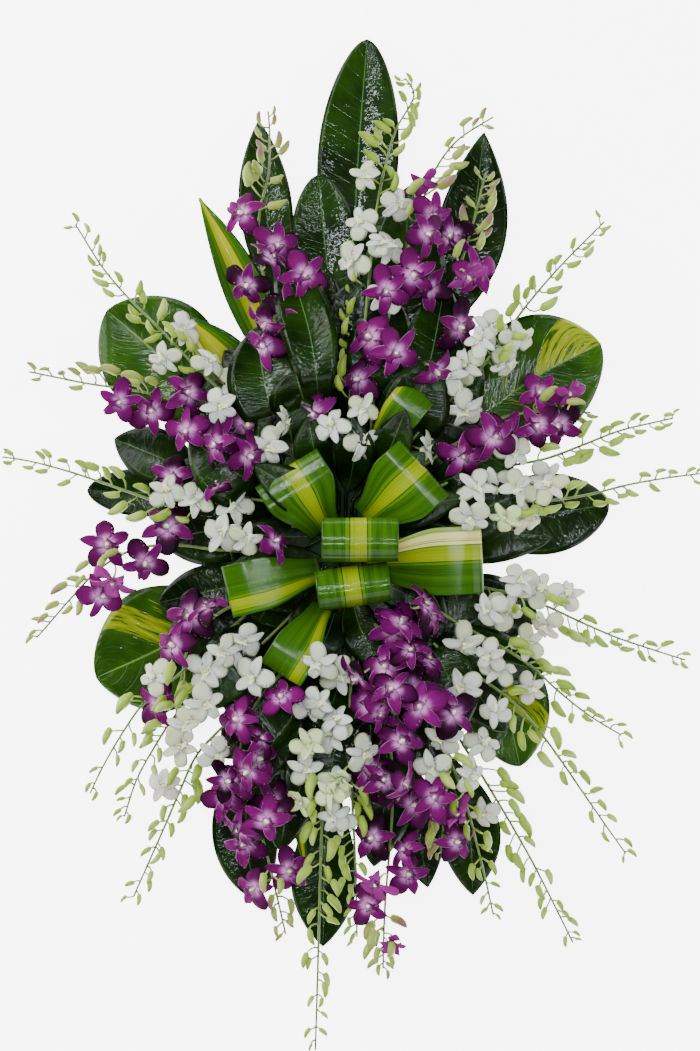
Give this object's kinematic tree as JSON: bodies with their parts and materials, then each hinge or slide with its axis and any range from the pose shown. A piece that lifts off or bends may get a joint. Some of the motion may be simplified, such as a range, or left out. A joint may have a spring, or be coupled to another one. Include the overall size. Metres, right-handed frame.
{
  "type": "standing spray of orchids (wreath-type flower arrangement)",
  "caption": "Tall diamond-shaped spray of white and purple dendrobium orchids with glossy leaves and a bow of rolled striped leaves, set in floral foam on a flat tray.",
  "frame": {"origin": "middle of the tray's flat back face, on which the piece lies", "axes": "+Z out of the arrangement towards its viewer, +Y towards the tall top leaf, +X to the viewer's right"},
  "size_m": [0.7536, 1.0942, 0.1966],
  "materials": {
    "dark_leaf": "living leaf, glossy dark green",
    "marbled_leaf": "living leaf, glossy green marbled with yellow",
    "striped_leaf": "living leaf, glossy green with a lime stripe",
    "rolled_leaf": "living leaf, glossy green with a yellow stripe",
    "purple_orchid": "petals, satin",
    "white_orchid": "petals, satin",
    "floral_foam": "matt",
    "tray_plastic": "satin"
  },
  "bodies": {
    "root": {"bottom_centre_leaf": "dark_leaf", "bottom_left_leaf": "dark_leaf", "bottom_left_loop": "rolled_leaf", "bottom_loop": "rolled_leaf", "bottom_right_leaf": "dark_leaf", "bottom_strap_leaf": "striped_leaf", "centre_loop": "rolled_leaf", "floral_foam": "floral_foam", "holder_tray": "tray_plastic", "left_dark_leaf": "dark_leaf", "left_inner_leaf": "dark_leaf", "left_marbled_leaf": "marbled_leaf", "left_striped_leaf": "striped_leaf", "lower_left_loop": "rolled_leaf", "lower_left_marbled_leaf": "marbled_leaf", "lower_right_dark_leaf": "dark_leaf", "lower_right_leaf": "marbled_leaf", "oval_leaf": "dark_leaf", "purple_spray_bottom_left": "purple_orchid", "purple_spray_bottom_right": "purple_orchid", "purple_spray_centre_low": "purple_orchid", "purple_spray_left": "purple_orchid", "purple_spray_left_short": "purple_orchid", "purple_spray_left_upper": "purple_orchid", "purple_spray_lower_left": "purple_orchid", "purple_spray_lower_right": "purple_orchid", "purple_spray_right": "purple_orchid", "purple_spray_top_centre": "purple_orchid", "purple_spray_top_right": "purple_orchid", "purple_spray_upper_left": "purple_orchid", "purple_spray_upper_right": "purple_orchid", "right_dark_leaf": "dark_leaf", "right_inner_leaf": "dark_leaf", "right_loop": "rolled_leaf", "right_marbled_leaf": "marbled_leaf", "top_leaf": "dark_leaf", "upper_folded_loop": "rolled_leaf", "upper_left_leaf": "dark_leaf", "upper_left_loop": "rolled_leaf", "upper_left_striped_leaf": "striped_leaf", "upper_right_leaf": "dark_leaf", "upper_right_loop": "rolled_leaf", "upright_striped_leaf": "striped_leaf", "white_spray_bottom": "white_orchid", "white_spray_bottom_short": "white_orchid", "white_spray_centre": "white_orchid", "white_spray_left": "white_orchid", "white_spray_lower_left": "white_orchid", "white_spray_lower_left_inner": "white_orchid", "white_spray_lower_left_outer": "white_orchid", "white_spray_lower_right": "white_orchid", "white_spray_lower_right_inner": "white_orchid", "white_spray_lower_right_outer": "white_orchid", "white_spray_right": "white_orchid", "white_spray_right_low": "white_orchid", "white_spray_right_lower": "white_orchid", "white_spray_right_upper": "white_orchid", "white_spray_top": "white_orchid", "white_spray_upper_left": "white_orchid", "white_spray_upper_right": "white_orchid"}
  },
  "joints": []
}
